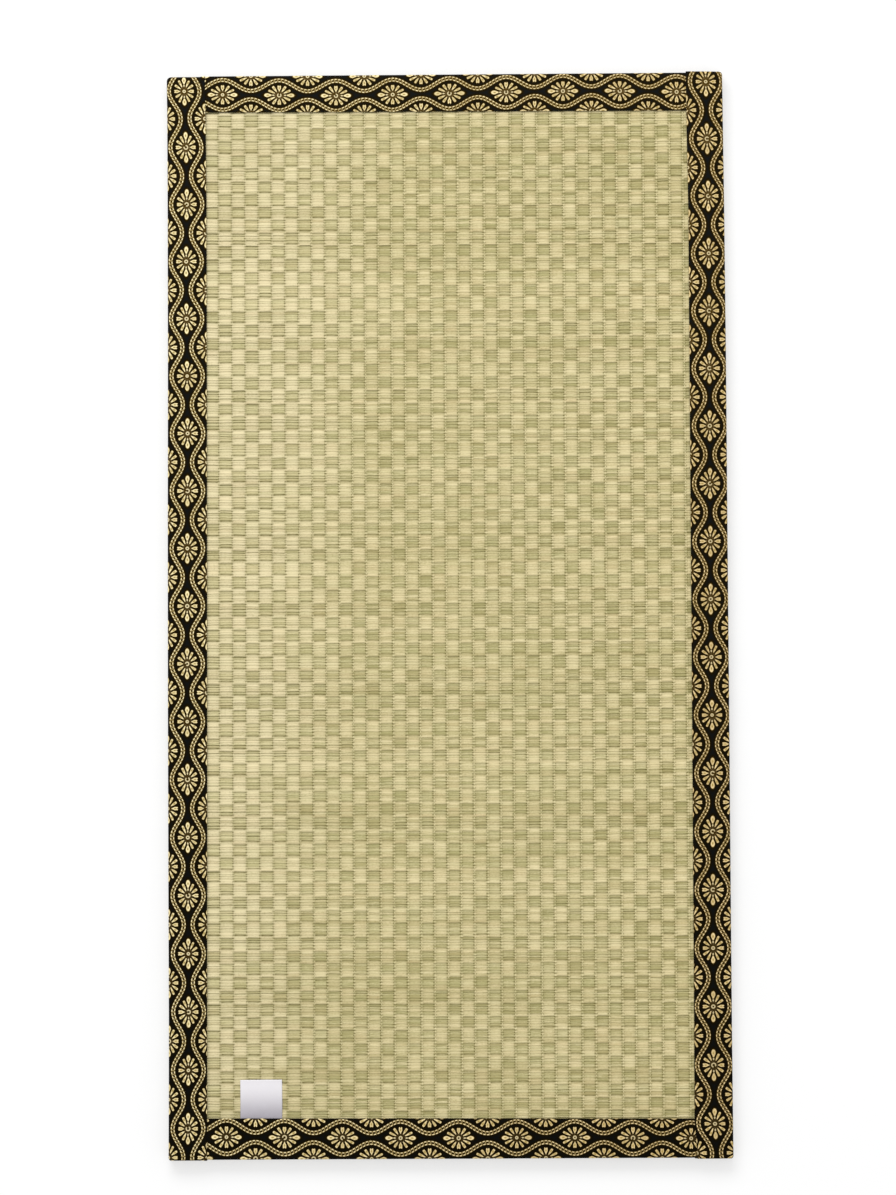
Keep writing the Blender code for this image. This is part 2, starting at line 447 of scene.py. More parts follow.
def lay_stems():
    """The facing's points, as a table with a row for each line across the mat, and their colouring with its
    painted shade.
    """
    stems = np.arange(SHEET_STARTS[0] - 1, LAST_STEM + 3)
    row = stems // STEMS
    shared = (stems % STEMS == 0)[:, None]
    row_index = row - row[0]
    column_index = line_column - FIRST_COLUMN_INDEX
    count = len(stems)
    rows = row_index[-1] + 1
    columns = LAST_COLUMN_INDEX - FIRST_COLUMN_INDEX + 1
    raised = shared | is_raised(line_column, row)

    # Where the gap above each stem lies, the same across the mat but for small shifts in each block.
    wander = np.interp(stems, np.unique(row) * STEMS, ROW_WANDER * bell(rows))
    in_row = np.array(GAP_PLACES)[stems % STEMS]
    edge = FIRST_ROW - (row * STEMS + in_row) * STEM + wander + STEM_WANDER * bell(count)
    edge += from_table(ROW_DRIFTS, edge, "up") * MM
    shift = BLOCK_SHIFT * bell(count, columns)[:, column_index]
    slant = BLOCK_SLANT * bell(rows, columns)[row_index][:, column_index] * (line_share - 0.5)
    sag = ROW_SAG * ((2 * line_x / (FACING_RIGHT - FACING_LEFT)) ** 2 - 1)
    edge = edge[:, None] + sag + (shift + slant) * on_stem

    # How far each stem stands out, and how open each gap above it is.
    rise = BLOCK_RISE * line_rise * np.where(shared, SHARED_RISE, 1.0)
    level = np.where(raised, rise, -BLOCK_RISE * line_sink)
    above = np.roll(raised, 1, axis=0)
    run = dice.beta(*GAP_ODDS, (count, 1)) * dice.uniform(*GAP_CHANGES, (count, columns))[:, column_index]
    kinds = [raised & above, ~raised & ~above, above]
    least = np.select(kinds, [RAISED_GAPS[0], SUNKEN_GAPS[0], HEAD_GAPS[0]], FOOT_GAPS[0])
    most = np.select(kinds, [RAISED_GAPS[1], SUNKEN_GAPS[1], HEAD_GAPS[1]], FOOT_GAPS[1])
    beside_shared = (shared | np.roll(shared, 1, axis=0)) & raised & above
    faintness = np.where(beside_shared, SHARED_FAINTNESS, 1.0)
    widest = from_table(STRING_PLACES, line_x, "gaps") * faintness
    opened = np.clip((least + (most - least) * run.clip(0, 1)) * widest, 0, GAP_LIMIT)

    # Lines across the mat: each gap, then the two shoulders of the stem below it.
    last = count - 2
    stem = np.append(np.repeat(np.arange(1, last), LINES_PER_STEM), last)
    step = np.append(np.tile(np.arange(LINES_PER_STEM), last - 1), 0)
    share = np.array((0.0, *SHOULDERS))[step][:, None]
    gap = (step == 0)[:, None]
    y = edge[stem] * (1 - share) + edge[stem + 1] * share
    depth = SHALLOW_GAP + (DEEP_GAP - SHALLOW_GAP) * opened[stem]
    z = np.where(gap, (level[stem - 1] + level[stem]) / 2 - depth, level[stem])
    z = np.where(on_stem, z, np.where(on_bridge, BRIDGE_RISE, -STRING_DEPTH) - SHALLOW_GAP * gap)

    # The facing sinks where it goes under the strips.
    from_side = np.minimum(line_x - FACING_LEFT, FACING_RIGHT - line_x)
    from_end = np.minimum(y - y.min(), y.max() - y)
    tuck = np.clip(1 - np.minimum(from_side, from_end) / TUCK_REACH, 0, 1)
    z = FACING_LEVEL + z - TUCK_DEPTH * tuck + HEIGHT_WANDER * bell(*z.shape)

    # Painted shade: each gap darkens as it opens, and a little of that spreads to the shoulders beside it.
    # Stems beside the strings and the lines in the grooves along the strings are darkened too.
    soft = opened * np.where(raised == above, GAP_SOFTNESS, EDGE_SOFTNESS)
    nearest = np.where((step == 1)[:, None], soft[stem], np.roll(soft, -1, axis=0)[stem])
    painted_shade = np.where(gap, opened[stem] * line_gap, nearest)
    painted_shade = 1 - (1 - painted_shade) * (1 - line_dark)
    painted_shade = np.where(on_stem, painted_shade, GAP_AT_STRING * gap)
    groove = groove_strength(row, shared)[stem] * np.where(gap, GROOVE_OVER_GAP, GROOVE_OVER_STEM)

    def scattered(of_stem, of_block, of_crossing):
        """A random value for each stem on each line across the mat."""
        value = of_stem * bell(count, 1) + of_block * bell(rows, columns)[row_index][:, column_index]
        return value + of_crossing * bell(count, columns)[:, column_index]

    tone = scattered(*TONE_SPREAD)
    hue = scattered(*HUE_SPREAD)
    return {
        "place": np.stack([np.broadcast_to(line_x, y.shape), y, z], axis=2),
        "raised": np.where(on_string, 0.5, raised[stem]),
        "gap": painted_shade,
        "groove": groove,
        "tone": tone[stem],
        "hue": hue[stem],
    }


# What each point of the facing carries for its colouring. The gap and groove shade are painted shade.
FACING_COLOURS = ("raised", "gap", "groove", "tone", "hue")

# The rush's colours, as a photograph holds them. The first two change over the mat, and give the colour
# in its middle, at its right and at its left. The sunken straw is greener than the raised, and darker partly
# as painted shade; the paler left colours are painted light.
RAISED_STRAW = ((201, 188, 141), (204, 190, 142), (222, 209, 168))
SUNKEN_STRAW = ((176, 168, 118), (173, 164, 113), (203, 193, 146))
PATCHY_STRAW = (184, 176, 122)
DULL_STRAW = (152, 140, 88)
BRIGHT_STRAW = (230, 217, 172)
WARM_STRAW = (212, 180, 134)
GREEN_STRAW = (160, 166, 106)
GAP_SHADE_BROWN = (90, 82, 22)
STRING_CREAM = (226, 215, 168)


def facing_finish():
    """Pale straw rush: cream on raised blocks, greener and shaded in sunken ones, painted shade in the gaps.
    """
    material, shader, start = new_finish("rush_facing", {"Specular IOR Level": 0.25})
    place = start.node("ShaderNodeTexCoord", {}, {}, "Object")
    x, y = place.parts()[:2]
    raised, gap, groove, tone, hue = (
        start.node("ShaderNodeAttribute", {"attribute_name": name}, {}, "Fac") for name in FACING_COLOURS
    )
    fibre_place = joined(start, x * 90.0, y * 1100.0, 0.0)
    fibre = start.node("ShaderNodeTexNoise", {}, {"Vector": fibre_place, "Scale": 1.0, "Detail": 4.0})
    fleck_place = joined(start, x * 420.0, y * 760.0, 4.0)
    fleck = start.node("ShaderNodeTexNoise", {}, {"Vector": fleck_place, "Scale": 1.0, "Detail": 2.0})
    patch = start.node("ShaderNodeTexNoise", {}, {"Vector": place, "Scale": 14.0, "Detail": 2.0})

    # The facing is creamiest along its left edge, painted light as from the lamp at the top left, greener
    # and darker towards the right, and a little browner towards its two ends.
    painted_light_left = (y * 0.08 - x - 0.065).ease(0.0, 0.17)
    at_right = x.ease(0.1, 0.28)
    at_ends = abs(y).ease(0.25, 0.6)

    def across_mat(middle, right, left):
        return painted_light_left.blend(at_right.blend(linear(*middle), linear(*right)), linear(*left))

    # The sunken blocks are greener than the raised ones, and darker partly as painted shade.
    straw = raised.blend(across_mat(*SUNKEN_STRAW), across_mat(*RAISED_STRAW))
    straw = (patch.ease(0.4, 0.75) * 0.2).blend(straw, linear(*PATCHY_STRAW))
    straw = (at_ends * 0.12).blend(straw, linear(*DULL_STRAW))
    light = (tone * 0.2 + fibre.ease(0.35, 0.75) * 0.4 + fleck.ease(0.5, 0.75) * 0.25).within()
    straw = light.blend(straw, linear(*BRIGHT_STRAW))
    shade = (tone * -0.18 + fibre.ease(0.5, 0.25) * 0.3 + fleck.ease(0.5, 0.3) * 0.26).within()
    straw = shade.blend(straw, linear(*DULL_STRAW))
    straw = (hue * 0.08).within().blend(straw, linear(*WARM_STRAW))
    straw = (hue * -0.1).within().blend(straw, linear(*GREEN_STRAW))

    # Beads of pale string show in the groove between columns, one after another along it.
    edge_number = ((x - FIRST_COLUMN) / COLUMN + 0.5).floor()
    from_edge = (x - FIRST_COLUMN - edge_number * COLUMN) / MM
    spread = ((x - CLOSE_TO) / (APART_FROM - CLOSE_TO)).within()
    apart = STRINGS_CLOSE / MM + spread * ((STRINGS_APART - STRINGS_CLOSE) / MM)
    first = abs(from_edge - FIRST_STRING / MM).ease(1.35, 0.35)
    second = abs(from_edge - apart).ease(0.9, 0.15)
    middle = (apart + FIRST_STRING / MM) * 0.5
    between = abs(from_edge - middle).ease(0.9, 0.3) * spread.ease(0.1, 0.6)
    chance = start.node("ShaderNodeTexWhiteNoise", {"noise_dimensions": "1D"}, {"W": edge_number})
    wobble = start.node("ShaderNodeTexNoise", {}, {"Vector": place, "Scale": 60.0, "Detail": 0.0})
    bead_turn = y * (2 * math.pi * BEADS_PER_ROW / ROW) + chance * (2 * math.pi) + wobble * 5.0
    bead = bead_turn.cos().ease(-0.35, 0.55)
    # Painted shade darkens the grooves along the strings, the gaps between stems and the notches between
    # beads.
    painted_shade = (groove * first.most(second) + gap * 0.9 + between * (1.0 - bead) * 0.3).within()
    colour = painted_shade.blend(straw, linear(*GAP_SHADE_BROWN))
    colour = (between * bead * (0.26 + raised * 0.08)).blend(colour, linear(*STRING_CREAM))
    height = fibre + between * bead * 2.0
    bump = start.node("ShaderNodeBump", {}, {"Height": height, "Distance": 0.1 * MM, "Strength": 0.6})
    connect(shader, {"Base Color": colour, "Roughness": 0.5 + fibre * 0.2, "Normal": bump})
    return material


def make_facing(name, lines, first, last, material):
    """One sheet of the facing, from one line across the mat to another."""
    down = last - first + 1
    across = len(line_x)
    mesh = bmesh.new()
    bmesh.ops.create_grid(mesh, x_segments=across - 1, y_segments=down - 1, size=1.0)
    piece = add_piece(name, mesh, material)
    data = piece.data
    grid = np.zeros(len(data.vertices) * 3)
    data.vertices.foreach_get("co", grid)
    grid = grid.reshape(-1, 3)
    column = np.rint((grid[:, 0] + 1) / 2 * (across - 1)).astype(int)
    line = np.rint((1 - grid[:, 1]) / 2 * (down - 1)).astype(int) + first
    places = lines["place"][line, column]
    data.vertices.foreach_set("co", places.ravel())
    for attribute in FACING_COLOURS:
        layer = data.attributes.new(attribute, "FLOAT", "POINT")
        layer.data.foreach_set("value", lines[attribute][line, column].astype(np.float32))
    data.shade_smooth()
    ends = np.zeros(len(data.edges) * 2, dtype=int)
    data.edges.foreach_get("vertices", ends)
    ends = line[ends.reshape(-1, 2)]
    in_gap = (ends[:, 0] == ends[:, 1]) & (ends[:, 0] % LINES_PER_STEM == 0)
    data.attributes.new("sharp_edge", "BOOLEAN", "EDGE").data.foreach_set("value", in_gap)
    data.update()
    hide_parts("rush_mat")


facing_lines = lay_stems()
facing_straw = facing_finish()
sheet_lines = [(start - SHEET_STARTS[0]) * LINES_PER_STEM for start in SHEET_STARTS]
sheet_lines.append(len(facing_lines["gap"]) - 1)
for number, (first_line, last_line) in enumerate(zip(sheet_lines, sheet_lines[1:]), start=1):
    make_facing(f"facing_{number}", facing_lines, first_line, last_line, facing_straw)


# The binding
# Black brocade with a gold wave-and-flower repeat is folded round each edge. The end strips go on first,
# and the side strips cover their ends and are closed over the corners like a parcel.

WIDTH = 620 * MM
LENGTH = 1203 * MM
THICKNESS = 15 * MM
CLOTH = 1.0 * MM
GAP = 0.3 * MM
LAP = CLOTH + GAP
EDGE_RADIUS = 2.2 * MM
EDGE_STEPS = 5
UNDER_FLAP = 42 * MM
END_STRIP_STOP = 6 * MM
END_WALL_FOOT = 4 * MM
RAMP_LENGTH = 7 * MM
RAMP_CLEARANCE = 2 * MM
CORNER_STEPS = 5
CORNER_RADIUS = {"top_left": 5.0, "top_right": 4.0, "bottom_left": 3.0, "bottom_right": 3.0}
HEM_ROUNDING = 0.42 * MM
STATION = 4.5 * MM
TOP_CUTS = 8
WALL_CUTS = 3

# A face counts as part of the mat's edge where its normal rises less than this.
UPRIGHT = 0.25

# The strips' cloth isn't quite flat. It has a crown, a dip at its sewn hem, and slow and quick ripples,
# with so many of each to a metre.
STRIP_CROWN = 0.16 * MM
HEM_DIP = 0.25 * MM
SLOW_RIPPLE = 0.10 * MM
SLOW_RIPPLES = 28
QUICK_RIPPLE = 0.05 * MM
QUICK_RIPPLES = 95

# The long edges, in millimetres: how far the outer edges are drawn in, and where the inner ones lie.
SideStation = namedtuple("SideStation", "place left_in right_in left_inner right_inner")
SIDE_STATIONS = [
    SideStation(-602, 0.0, 0.0, -267.8, 270.8),
    SideStation(-557, 0.2, 0.1, -267.5, 267.6),
    SideStation(-450, 0.5, 0.3, -267.3, 268.1),
    SideStation(-300, 0.2, 0.3, -266.9, 268.4),
    SideStation(-100, 0.0, 0.2, -266.5, 268.8),
    SideStation(100, 0.2, 0.3, -266.2, 269.0),
    SideStation(280, 0.7, 0.2, -266.0, 269.2),
    SideStation(450, 0.7, 0.7, -266.0, 269.4),
    SideStation(555, 0.4, 1.4, -266.7, 268.0),
    SideStation(602, 0.0, 1.8, -267.6, 267.8),
]

# The short edges from left to right, in the same way.
EndStation = namedtuple("EndStation", "place bottom_in top_in bottom_inner top_inner")
END_STATIONS = [
    EndStation(-310, 0.6, 2.1, -554.7, 559.4),
    EndStation(-272, 0.6, 2.1, -554.9, 559.3),
    EndStation(-264, 0.0, 0.0, -554.9, 559.3),
    EndStation(0, 0.0, 0.0, -556.1, 558.4),
    EndStation(264, 0.0, 0.0, -557.3, 557.5),
    EndStation(272, 0.2, 0.0, -557.3, 557.5),
    EndStation(310, 0.4, 0.7, -557.5, 557.4),
]

# The cloth's repeat, in millimetres: flowers in columns, every other column half a repeat on, with a
# braid between.
REPEAT = 63.9
FLOWER_COLUMN = 22.0

# The braid, in millimetres: how far it sways, how far apart its rungs are along it, and how far its
# rails lie from its middle. Over a repeat it is longer than the cloth, and gains most where it slants.
BRAID_SWAY = 6.1
BRAID_PITCH = 4.1
BRAID_RAIL = 1.55
BRAID_LENGTH = 1.085
BRAID_GAIN = 0.09

# A flower, in millimetres from its heart. Its petals crowd towards the line along the cloth. The nearer a
# petal lies to that line, the further it reaches and the narrower it is. Widths are from a petal's middle.
PETALS = 12
PETAL_CROWDING = 0.79
PETAL_START = 4.1
PETAL_REACH = 10.6
PETAL_REACH_ALONG = 3.4
PETAL_NARROWEST = 0.52
PETAL_WIDEST = 1.14
PETAL_WIDER_ACROSS = 0.68
PETAL_CORNER = 1.02
LONG_PETAL = 17.0
LONG_PETAL_START = 8.4
LONG_PETAL_NARROWEST = 0.75
LONG_PETAL_WIDER = 1.5
HEART_RING = 1.2
HEART_WISPS = 4.2
BEAD_PLACE = 6.7

# The spacing of the threads, in millimetres, across and along the cloth.
WARP_PITCH = 0.42
WEFT_PITCH = 0.36

# How each strip was cut and laid, in degrees and millimetres: which way it is turned, its repeat and its
# columns' spacing as stretched, where one flower lies along it, and how far from the mat's middle the line
# of flowers runs, place by place.
StripCut = namedtuple("StripCut", "side turn repeat spacing flower line_places line_distances")
STRIP_CUTS = [
    StripCut(
        side="left",
        turn=90,
        repeat=63.91,
        spacing=22.5,
        flower=584.3,
        line_places=(-600, -440, -80, 200, 380, 480, 590),
        line_distances=(288.0, 287.3, 288.5, 287.8, 289.3, 288.2, 290.2),
    ),
    StripCut(
        side="right",
        turn=-90,
        repeat=64.04,
        spacing=22.9,
        flower=-589.6,
        line_places=(-600, -480, -240, 0, 160, 400, 480, 600),
        line_distances=(291.2, 292.0, 291.2, 290.5, 291.1, 290.0, 289.6, 290.8),
    ),
    StripCut(
        side="top",
        turn=0,
        repeat=63.15,
        spacing=21.9,
        flower=-247.7,
        line_places=(-260, -120, 120, 180, 260),
        line_distances=(578.8, 576.7, 580.4, 580.6, 578.7),
    ),
    StripCut(
        side="bottom",
        turn=180,
        repeat=63.75,
        spacing=23.0,
        flower=246.2,
        line_places=(-265, -120, 0, 120, 250),
        line_distances=(578.4, 576.9, 577.6, 577.0, 575.9),
    ),
]


def read(table, place, column):
    """A table's column at one place, both in metres."""
    return float(from_table(table, place, column)) * MM


def share_outside(distance, inner, outer):
    """0 at the binding's inner edge and 1 at the mat's outer edge."""
    return min(max((abs(distance) - abs(inner)) / (abs(outer) - abs(inner)), 0.0), 1.0)


def uneven(point):
    """A point of the straight binding, moved as the real edges wander."""
    side = "left" if point.x < 0 else "right"
    end = "bottom" if point.y < 0 else "top"
    x_share = share_outside(point.x, read(SIDE_STATIONS, 0, side + "_inner"), WIDTH / 2)
    y_share = share_outside(point.y, read(END_STATIONS, 0, end + "_inner"), LENGTH / 2)
    x_sign = 1 if side == "left" else -1
    y_sign = 1 if end == "bottom" else -1
    x_pull = x_sign * read(SIDE_STATIONS, point.y, side + "_in") * x_share
    y_pull = y_sign * read(END_STATIONS, point.x, end + "_in") * y_share
    return Vector((point.x + x_pull, point.y + y_pull, point.z))


def ramp_top(end):
    return abs(read(END_STATIONS, 0, end + "_inner")) - RAMP_CLEARANCE


def climb(place):
    """How far a side strip's top is raised where it passes over an end strip."""
    start = ramp_top("bottom" if place < 0 else "top") - RAMP_LENGTH
    share = min(max((abs(place) - start) / RAMP_LENGTH, 0.0), 1.0)
    return LAP * share * share * (3 - 2 * share)


def run_over_edge(reach, height, edge):
    """The length of cloth from the mat's middle out over the rounded edge, down and back under."""
    flat_end = edge - EDGE_RADIUS
    quarter = EDGE_RADIUS * math.pi / 2
    beyond = reach - flat_end
    wall_top = THICKNESS - EDGE_RADIUS
    if height > wall_top:
        return flat_end + EDGE_RADIUS * math.atan2(beyond, height - wall_top) if beyond > 0 else reach
    if height >= EDGE_RADIUS:
        return flat_end + quarter + wall_top - height
    wall_foot = flat_end + quarter + wall_top - EDGE_RADIUS
    if beyond > 0:
        return wall_foot + EDGE_RADIUS * math.atan2(EDGE_RADIUS - height, beyond)
    return wall_foot + quarter - beyond


def lay_pattern(mesh, cut, edge, half_length):
    """Gives the cloth its flat coordinates, in metres from a flower on the line of flowers."""
    layer = mesh.loops.layers.uv.new("cloth")
    stretch_along = REPEAT / cut.repeat
    stretch_across = FLOWER_COLUMN / cut.spacing
    for face in mesh.faces:
        normal = face.normal
        upright = abs(normal.z) < UPRIGHT
        on_wall = upright and abs(normal.y) >= abs(normal.x)
        on_cap = upright and not on_wall
        for loop in face.loops:
            point = loop.vert.co
            line = float(np.interp(point.x / MM, cut.line_places, cut.line_distances)) * MM
            reach = point.y if on_cap else run_over_edge(point.y, point.z, edge)
            run = abs(point.x) if on_wall else run_over_edge(abs(point.x), point.z, half_length)
            along = math.copysign(run, point.x) - cut.flower * MM
            loop[layer].uv = (along * stretch_along, (reach - line) * stretch_across)


def cut_across(mesh, axis, places):
    normal = Vector((0, 0, 0))
    normal[axis] = 1.0
    for place in places:
        geometry = mesh.verts[:] + mesh.edges[:] + mesh.faces[:]
        bmesh.ops.bisect_plane(mesh, geom=geometry, plane_co=normal * place, plane_no=normal)


def near(value, target):
    return abs(value - target) < 0.01 * MM


def edges_at(mesh, axis, place):
    """Edges with both ends at a place on an axis, and a face on either side."""
    found = [edge for edge in mesh.edges if all(near(vert.co[axis], place) for vert in edge.verts)]
    return [edge for edge in found if len(edge.link_faces) == 2]


def drop_faces(mesh, test):
    faces = [face for face in mesh.faces if test(face.calc_center_median())]
    bmesh.ops.delete(mesh, geom=faces, context="FACES")


def straight_strip(half_length, inner, edge):
    """A closed-ended trough laid over the mat's edge: x along it, y outwards, z up."""
    mesh = box_between(Vector((-half_length, inner, 0)), Vector((half_length, edge, THICKNESS)))
    drop_faces(mesh, lambda centre: near(centre.y, inner))
    return mesh


def cut_stations(mesh, half_length, inner, edge):
    """Cuts the strip finely enough to follow its edges and to be soft."""
    count = round(2 * half_length / STATION)
    cut_across(mesh, 0, [-half_length + 2 * half_length * step / count for step in range(1, count)])
    flat = edge - EDGE_RADIUS - inner
    cut_across(mesh, 1, [inner + flat * step / TOP_CUTS for step in range(1, TOP_CUTS)])
    wall = THICKNESS - 2 * EDGE_RADIUS
    cut_across(mesh, 2, [EDGE_RADIUS + wall * step / WALL_CUTS for step in range(1, WALL_CUTS)])


def softened(point, over_mat, share):
    """Small rises and dips of cloth that is pulled over an edge by hand, and sewn down at its hem."""
    slow = noise.noise(Vector((point.x * SLOW_RIPPLES, point.y * SLOW_RIPPLES, 1.7)))
    quick = noise.noise(Vector((point.x * QUICK_RIPPLES, point.y * QUICK_RIPPLES, 5.1)))
    if over_mat:
        point.z += SLOW_RIPPLE * slow + QUICK_RIPPLE * quick + STRIP_CROWN * math.sin(math.pi * share)
        point.z -= HEM_DIP * (1 - share) ** 6
    return point


def finish_strip(side, mesh, materials):
    bmesh.ops.recalc_face_normals(mesh, faces=mesh.faces[:])
    strip = add_piece(f"{side}_strip", mesh, materials[0])
    strip.data.materials.append(materials[1])
    thicken = strip.modifiers.new("cloth", "SOLIDIFY")
    thicken.thickness = CLOTH
    thicken.offset = -1.0
    thicken.use_even_offset = True
    thicken.use_rim = True
    # The cloth's edges take the second finish, painted shade in place of the gold at the fold.
    thicken.material_offset_rim = 1
    hem = strip.modifiers.new("folded_hem", "BEVEL")
    hem.width = HEM_ROUNDING
    hem.segments = 2
    hem.limit_method = "ANGLE"
    hem.angle_limit = math.radians(60)
    strip.data.shade_smooth()
    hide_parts(f"binding_{side}")


def hem_shade_finish():
    """The turned edge of the brocade: its black ground alone, threads showing, gold left off as painted
    shade.
    """
    material, shader, start = new_finish("brocade_hem_shade", {"Specular IOR Level": 0.1, "Roughness": 0.7})
    place = start.node("ShaderNodeTexCoord", {}, {}, "Object")
    thread = start.node("ShaderNodeTexNoise", {}, {"Vector": place, "Scale": 1400.0, "Detail": 2.0})
    colour = thread.ease(0.45, 0.8).blend(linear(16, 14, 12), linear(58, 44, 20))
    bump = start.node("ShaderNodeBump", {}, {"Height": thread, "Distance": 0.1 * MM, "Strength": 0.6})
    connect(shader, {"Base Color": colour, "Normal": bump})
    return material


# The brocade's colours, as a photograph holds them. The first three golds are given as they are at the
# left of the mat and as they are at its right and foot; the darker of each is painted shade.
MID_GOLD = ((166, 139, 66), (134, 109, 48))
PALE_GOLD = ((255, 242, 192), (232, 208, 156))
GREY_GOLD = ((212, 199, 160), (188, 174, 134))
VEIN_GOLD = (150, 126, 52)
WISP_GOLD = (170, 150, 112)
WEFT_BROWN = (110, 82, 32)
OUTLINE_BROWN = (72, 52, 4)
SPECK_BROWN = (46, 40, 22)
SATIN_BLACK = (18, 20, 20)
WARM_BLACK = (22, 14, 0)
FOOT_SHADE_BLACK = (3, 2, 0)


def brocade_finish():
    """Black satin ground with gold flowers in columns and a braid waving between them."""
    material, shader, start = new_finish("brocade", {"Specular IOR Level": 0.02})
    cloth = start.node("ShaderNodeUVMap", {"uv_map": "cloth"}, {})
    along, across = (metres / MM for metres in cloth.parts()[:2])
    turn = along * (2 * math.pi / REPEAT)

    # The braid sways to and fro between two columns, each braid opposite to the next. It is a chain:
    # two pale rails of short dashes, joined by duller rungs, with dark holes between the rungs.
    band = (across / FLOWER_COLUMN).floor()
    direction = 1.0 - 2.0 * (band % 2.0)
    middle = (band + 0.5) * FLOWER_COLUMN + direction * BRAID_SWAY * turn.cos()
    slope = (BRAID_SWAY * 2 * math.pi / REPEAT) * turn.sin()
    off_braid = (across - middle) / (1.0 + slope * slope).root()
    distance = abs(off_braid)
    travelled = along * BRAID_LENGTH - (BRAID_GAIN * REPEAT / (4 * math.pi)) * (turn * 2.0).sin()
    pitch = travelled * (2 * math.pi / BRAID_PITCH)
    rail = abs(distance - BRAID_RAIL).ease(0.68, 0.34)
    dash = (pitch + (off_braid > 0.0) * 1.4).cos().ease(-0.8, 0.3)
    hole = pitch.cos().ease(-0.85, -0.2) * distance.ease(1.6, 1.05)
    rung = distance.ease(1.6, 1.1) * (1.0 - hole)
    braid = (rail * (0.38 + 0.62 * dash)).most(rung * 0.55)

    # A flower has a small ring at its heart, a long pointed petal with a bead under it to either side
    # along the cloth, and ten more petals between those.
    column = band + (across > middle)
    shifted = along + (column % 2.0) * (REPEAT / 2) + REPEAT / 2
    in_repeat = shifted % REPEAT - REPEAT / 2
    from_column = across - column * FLOWER_COLUMN
    flower = (shifted / REPEAT).floor()
    chance = start.node(
        "ShaderNodeTexWhiteNoise",
        {"noise_dimensions": "3D"},
        {"Vector": joined(start, flower, column, 7.0)},
    )
    sector = 2 * math.pi / PETALS
    petal = (start.math("ARCTAN2", from_column, in_repeat * PETAL_CROWDING) / sector + 0.5).floor()
    petal_along = (petal * sector).cos() / PETAL_CROWDING
    petal_across = (petal * sector).sin()
    petal_size = (petal_along * petal_along + petal_across * petal_across).root()
    outward = (in_repeat * petal_along + from_column * petal_across) / petal_size
    sideways = abs(from_column * petal_along - in_repeat * petal_across) / petal_size
    petal_chance = start.node(
        "ShaderNodeTexWhiteNoise",
        {"noise_dimensions": "3D"},
        {"Vector": joined(start, petal, flower * 17.0 + column, 2.0)},
    )
    lean = petal_along * petal_along / (petal_size * petal_size)
    sideward = (1.0 - lean) ** 4.0
    long_place = (lean > 0.97) * 1.0
    reach = PETAL_REACH + PETAL_REACH_ALONG * lean + 0.9 * petal_chance
    notch = sideward * sideways.ease(0.8, 0.0) * (1.3 * petal_chance)
    widest = PETAL_WIDEST + 0.14 * chance + PETAL_WIDER_ACROSS * sideward
    half_width = PETAL_NARROWEST + (widest - PETAL_NARROWEST) * outward.ease(4.6, reach - 3.2)
    corner = PETAL_CORNER - 0.22 * sideward
    past_side = (sideways - half_width + corner).most(0.0)
    past_end = (outward - reach + notch + corner).most(0.0)
    side_distance = (past_side * past_side + past_end * past_end).root() - corner + 4.0 * long_place
    side_start = (outward - 1.2 * lean).ease(PETAL_START, PETAL_START + 0.7)

    # The two long petals are measured straight along the cloth, and so are the beads at their feet.
    far = abs(in_repeat)
    aside = abs(from_column)
    long_reach = LONG_PETAL + 0.7 * (chance - 0.5)
    long_width = LONG_PETAL_NARROWEST + LONG_PETAL_WIDER * far.ease(8.2, long_reach - 3.6)
    beyond = (far - long_reach + 3.9).most(0.0) * 0.58
    long_distance = (aside * aside + beyond * beyond).root() - long_width
    long_start = far.ease(LONG_PETAL_START, LONG_PETAL_START + 0.7)
    bead_off = (far - BEAD_PLACE) * 0.6
    bead = (bead_off * bead_off + aside * aside).root().ease(1.0, 0.6)

    # Each petal has a duller vein a little short of its tip.
    side_petal = side_distance.ease(0.14, -0.22) * side_start
    long_petal = long_distance.ease(0.14, -0.22) * long_start
    petal_mask = side_petal.most(long_petal)
    petal_distance = side_distance.least(long_distance)
    from_tip = (long_reach - far - 4.2) * long_petal + (reach - outward - 3.0) * (1.0 - long_petal)
    to_side = aside * long_petal + sideways * (1.0 - long_petal)
    vein_off = (from_tip * from_tip * 0.3 + to_side * to_side).root()
    vein = vein_off.ease(1.35, 0.4) * petal_chance.ease(-0.3, 0.4)

    # Gold threads from the back show as specks near the figures, and as wisps round a flower's heart. In
    # about two flowers of five the ring at the heart is open at one side.
    speck_place = joined(start, along * 1.1, across * 1.1, 0.0)
    speck = start.node("ShaderNodeTexNoise", {}, {"Vector": speck_place, "Scale": 1.0, "Detail": 3.0})
    radius = (in_repeat * in_repeat + from_column * from_column).root()
    angle = start.math("ARCTAN2", from_column, in_repeat)
    closed = (angle + chance * 6.3).cos().ease(0.97, 0.7).most(1.0 - (chance > 0.6))
    ring = abs(radius - HEART_RING - 0.9 * chance).ease(0.9, 0.4) * closed
    wisp = abs(radius - HEART_WISPS).ease(0.9, 0.3) * speck.ease(0.4, 0.65)

    # Single threads show as fine lines. The black is warmer round the figures, and brown beside them.
    warp = (across * (2 * math.pi / WARP_PITCH)).sin()
    weft = (along * (2 * math.pi / WEFT_PITCH)).sin()
    gold = petal_mask.most(ring).most(bead).most(braid)
    near_petal = petal_distance.ease(3.0, 1.0) * (radius > 4.0)
    around = near_petal.most(distance.ease(6.0, 3.2)).most(radius.ease(6.0, 4.5))
    beside_petal = petal_distance.ease(0.85, 0.1) * (radius > 4.4)
    outline = beside_petal.most(distance.ease(2.9, 2.3)).most(radius.ease(5.0, 4.0))
